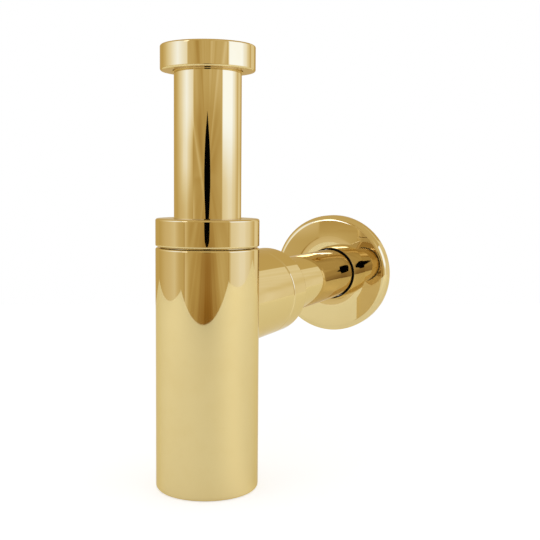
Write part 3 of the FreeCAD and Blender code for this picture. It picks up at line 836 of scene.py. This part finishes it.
# glows in its own tints where the polish shows it, paler for a second bounce, and in plain white for the floor
clothSheen = {"laterTint": 0.5, "laterFrom": 1.5}     # share of the tint, and from which glossy depth
glowCloth = bpy.data.materials.new("glowCloth")
glowCloth.use_nodes = True
tree = glowCloth.node_tree
tree.nodes.clear()
clothOut = addNode(tree, "ShaderNodeOutputMaterial")
clothGlow = addNode(tree, "ShaderNodeEmission")
clothTone = addNode(tree, "ShaderNodeAttribute", attribute_name="glow")
plainTone = addNode(tree, "ShaderNodeSeparateColor")
feed(tree, plainTone.inputs["Color"], clothTone.outputs["Color"])
path = addNode(tree, "ShaderNodeLightPath")
firstBounce = calc(tree, "LESS_THAN", path.outputs["Glossy Depth"], clothSheen["laterFrom"])
tinting = calc(tree, "MAXIMUM", firstBounce, clothSheen["laterTint"])
tinted = calc(tree, "MULTIPLY", path.outputs["Is Glossy Ray"], tinting)
feed(tree, clothGlow.inputs["Color"],
     mixColours(tree, tinted, plainTone.outputs["Red"], clothTone.outputs["Color"]))
feed(tree, clothOut.inputs["Surface"], clothGlow.outputs["Emission"])
glowCloth.cycles.emission_sampling = "NONE"


def hang(name, corner, acrossDir, acrossRange, upDir, upRange, steps, glow):
    columns, rows = steps
    points, colours = [], []
    for row in range(rows + 1):
        up = upRange[0] + (upRange[1] - upRange[0]) * row / rows
        for column in range(columns + 1):
            across = acrossRange[0] + (acrossRange[1] - acrossRange[0]) * column / columns
            points.append((corner + acrossDir * across + upDir * up) * mm)
            colours.extend(glowColour(glow(across, up)))
    faces = []
    for row in range(rows):
        for column in range(columns):
            first = row * (columns + 1) + column
            faces.append((first, first + 1, first + columns + 2, first + columns + 1))
    mesh = bpy.data.meshes.new(name)
    mesh.from_pydata(points, [], faces)
    mesh.attributes.new("glow", "FLOAT_COLOR", "POINT").data.foreach_set("color", colours)
    mesh.materials.append(glowCloth)
    sheet = bpy.data.objects.new(name, mesh)
    sheet.visible_camera = False
    scene.collection.objects.link(sheet)


wallSpan = (floorHeight, tent["top"])
frontPlace = heading(tent["frontTurn"])
frontAcross = heading(tent["frontTurn"] + 90)
hang("frontCurtain", frontPlace * tent["frontAway"], frontAcross, tent["frontSpan"],
     upward, wallSpan, tent["frontSteps"], frontGlow)
hang("rightWall", heading(tent["rightTurn"]) * tent["rightAway"], heading(tent["rightTurn"] + 90),
     tent["rightSpan"], upward, wallSpan, tent["rightSteps"], rightGlow)
hang("leftWall", toRight * tent["left"], toFront, tent["leftSpan"],
     upward, wallSpan, tent["leftSteps"], leftGlow)
hang("backWall", toFront * tent["back"], toRight, tent["backSpan"],
     upward, wallSpan, tent["backSteps"], backGlow)
hang("tentTop", upward * tent["top"], toRight, tent["backSpan"],
     toFront, tent["topSpan"], tent["topSteps"], lambda across, depth: tent["topLevel"])

# soft box above the curtain, on the left
softBox = {"span": (-660, -430), "rise": (148, 240), "steps": (4, 4), "level": 4.5, "ahead": 4}
hang("softBox", frontPlace * (tent["frontAway"] - softBox["ahead"]), frontAcross, softBox["span"],
     upward, softBox["rise"], softBox["steps"], lambda across, height: softBox["level"])


# one flat face, its corners in turn
def flatSheet(name, corners, material):
    mesh = bpy.data.meshes.new(name)
    mesh.from_pydata([corner * mm for corner in corners], [], [tuple(range(len(corners)))])
    mesh.materials.append(material)
    sheet = bpy.data.objects.new(name, mesh)
    scene.collection.objects.link(sheet)
    return sheet


def showInPolishOnly(sheet):
    sheet.visible_camera = False
    sheet.visible_diffuse = False
    sheet.visible_shadow = False


# small card beside the bottle, lit on the wall's side only: the streak along the pipe
bounceCard = {
    "depth": 48, "level": 3.2, "tint": (1, 1.25, 2.4, 1),
    "outline": ((-60, -64), (-60, -58), (-42, -45), (-30, -45), (-27, -56), (-20, -62), (-20, -70), (-40, -67)),
}
cardGlow = bpy.data.materials.new("cardGlow")
cardGlow.use_nodes = True
tree = cardGlow.node_tree
tree.nodes.clear()
cardLight = addNode(tree, "ShaderNodeEmission")
cardLight.inputs["Color"].default_value = bounceCard["tint"]
cardLight.inputs["Strength"].default_value = bounceCard["level"]
cardMix = addNode(tree, "ShaderNodeMixShader")
feed(tree, cardMix.inputs["Fac"], addNode(tree, "ShaderNodeNewGeometry").outputs["Backfacing"])
feed(tree, cardMix.inputs[1], cardLight.outputs["Emission"])
feed(tree, cardMix.inputs[2], addNode(tree, "ShaderNodeBsdfTransparent").outputs["BSDF"])
feed(tree, addNode(tree, "ShaderNodeOutputMaterial").inputs["Surface"], cardMix.outputs["Shader"])
cardGlow.cycles.emission_sampling = "NONE"
cardCorners = [Vector((across, bounceCard["depth"], height)) for across, height in bounceCard["outline"]]
card = flatSheet("bounceCard", cardCorners, cardGlow)
showInPolishOnly(card)

# dark mouth of the camera's hood: half widths by height
lensHood = {
    "distance": 452, "across": -11, "tone": (0.002, 0.002, 0.002, 1), "shine": 0,
    "outline": ((9, 0), (-13, 50), (-29, 71), (-45, 81), (-60, 81), (-73, 68), (-90, 47), (-102, 44), (-110, 38),
                (-115, 13)),
}
hoodOutline = [(lensHood["across"] - half, height) for height, half in lensHood["outline"]]
hoodOutline += [(lensHood["across"] + half, height) for height, half in reversed(lensHood["outline"]) if half]
hoodCorners = [toFront * lensHood["distance"] + toRight * across + upward * height
               for across, height in hoodOutline]
hoodDark = bpy.data.materials.new("hoodDark")
hoodDark.use_nodes = True
hoodShader = hoodDark.node_tree.nodes["Principled BSDF"]
hoodShader.inputs["Base Color"].default_value = lensHood["tone"]
hoodShader.inputs["Specular IOR Level"].default_value = lensHood["shine"]
hood = flatSheet("lensHood", hoodCorners, hoodDark)
showInPolishOnly(hood)

# floor: pale, keeps the shadow, and reads white to the camera; in the polish it shows painted light, brighter to
# the right and left and darker in front
floorSheet = {
    "tone": (0.72, 0.72, 0.72, 1), "liftSeen": 0.58, "liftMirrored": 0.34,
    "lightPatches": ((56, 0.1), (-88, 0.035), (0, -0.035)), "narrowness": 8,     # degrees round from the front, lift
}
floorCorners = [toFront * ahead + toRight * across + upward * floorHeight for ahead, across in tent["corners"]]
floorPaint = bpy.data.materials.new("floorPaint")
floorPaint.use_nodes = True
tree = floorPaint.node_tree
tree.nodes.clear()
paintOut = addNode(tree, "ShaderNodeOutputMaterial")
matt = addNode(tree, "ShaderNodeBsdfDiffuse")
matt.inputs["Color"].default_value = floorSheet["tone"]
lift = addNode(tree, "ShaderNodeEmission")
path = addNode(tree, "ShaderNodeLightPath")
seen = calc(tree, "MULTIPLY", path.outputs["Is Camera Ray"], floorSheet["liftSeen"])
mirrored = calc(tree, "MAXIMUM", path.outputs["Is Glossy Ray"], path.outputs["Is Transmission Ray"])
spot = addNode(tree, "ShaderNodeTexCoord").outputs["Object"]
fromMiddle = calc(tree, "SUBTRACT", spot, (0, 0, floorHeight * mm), "ShaderNodeVectorMath")
towards = calc(tree, "NORMALIZE", fromMiddle, None, "ShaderNodeVectorMath")
# painted light: the floor seen in the polish is lifted more to the right and left and less in front
paintedFloorLight = floorSheet["liftMirrored"]
for turn, gain in floorSheet["lightPatches"]:
    facingIt = addNode(tree, "ShaderNodeVectorMath", operation="DOT_PRODUCT")
    feed(tree, facingIt.inputs[0], towards)
    facingIt.inputs[1].default_value = heading(turn)
    share = calc(tree, "POWER", calc(tree, "MAXIMUM", facingIt.outputs["Value"], 0), floorSheet["narrowness"])
    paintedFloorLight = calc(tree, "ADD", calc(tree, "MULTIPLY", share, gain), paintedFloorLight)
feed(tree, lift.inputs["Strength"], calc(tree, "MAXIMUM", seen, calc(tree, "MULTIPLY", mirrored, paintedFloorLight)))
both = addNode(tree, "ShaderNodeAddShader")
feed(tree, both.inputs[0], matt.outputs[0])
feed(tree, both.inputs[1], lift.outputs[0])
feed(tree, paintOut.inputs["Surface"], both.outputs[0])
floor = flatSheet("floor", floorCorners, floorPaint)

# white world for the camera, a plain grey level for the light
skyLevels = {"tone": (1, 1, 1, 1), "cast": 0.8, "seen": 1}
world = bpy.data.worlds.new("studioWorld")
scene.world = world
world.use_nodes = True
tree = world.node_tree
sky = tree.nodes["Background"]
sky.inputs["Color"].default_value = skyLevels["tone"]
path = addNode(tree, "ShaderNodeLightPath")
seen = calc(tree, "MAXIMUM", path.outputs["Is Camera Ray"],
            calc(tree, "MAXIMUM", path.outputs["Is Glossy Ray"], path.outputs["Is Transmission Ray"]))
skyPower = addNode(tree, "ShaderNodeMapRange")
feed(tree, skyPower.inputs["Value"], seen)
skyPower.inputs["To Min"].default_value = skyLevels["cast"]
skyPower.inputs["To Max"].default_value = skyLevels["seen"]
feed(tree, sky.inputs["Strength"], skyPower.outputs["Result"])
scene.view_settings.view_transform = "Standard"
print("studio built")

# camera, as the photo was taken
view = {
    "place": (194.72, -408.62, -58.73), "yaw": 21.683, "pitch": 5.094, "roll": 0.449,
    "lens": 63.036, "sensor": 36, "nearest": 0.01,
}
yaw, pitch, roll = (math.radians(view[key]) for key in ("yaw", "pitch", "roll"))
ahead = Vector((-math.sin(yaw) * math.cos(pitch), math.cos(yaw) * math.cos(pitch), -math.sin(pitch)))
sideways = Vector((math.cos(yaw), math.sin(yaw), 0))
above = sideways.cross(ahead)
rolledSide = sideways * math.cos(roll) + above * math.sin(roll)
rolledTop = above * math.cos(roll) - sideways * math.sin(roll)
cameraData = bpy.data.cameras.new("camera")
cameraData.lens = view["lens"]
cameraData.sensor_width = view["sensor"]
cameraData.clip_start = view["nearest"]
camera = bpy.data.objects.new("camera", cameraData)
turned = Matrix((rolledSide, rolledTop, -ahead)).transposed().to_4x4()
camera.matrix_world = Matrix.Translation(Vector(view["place"]) * mm) @ turned
scene.collection.objects.link(camera)
scene.camera = camera

print("camera set")
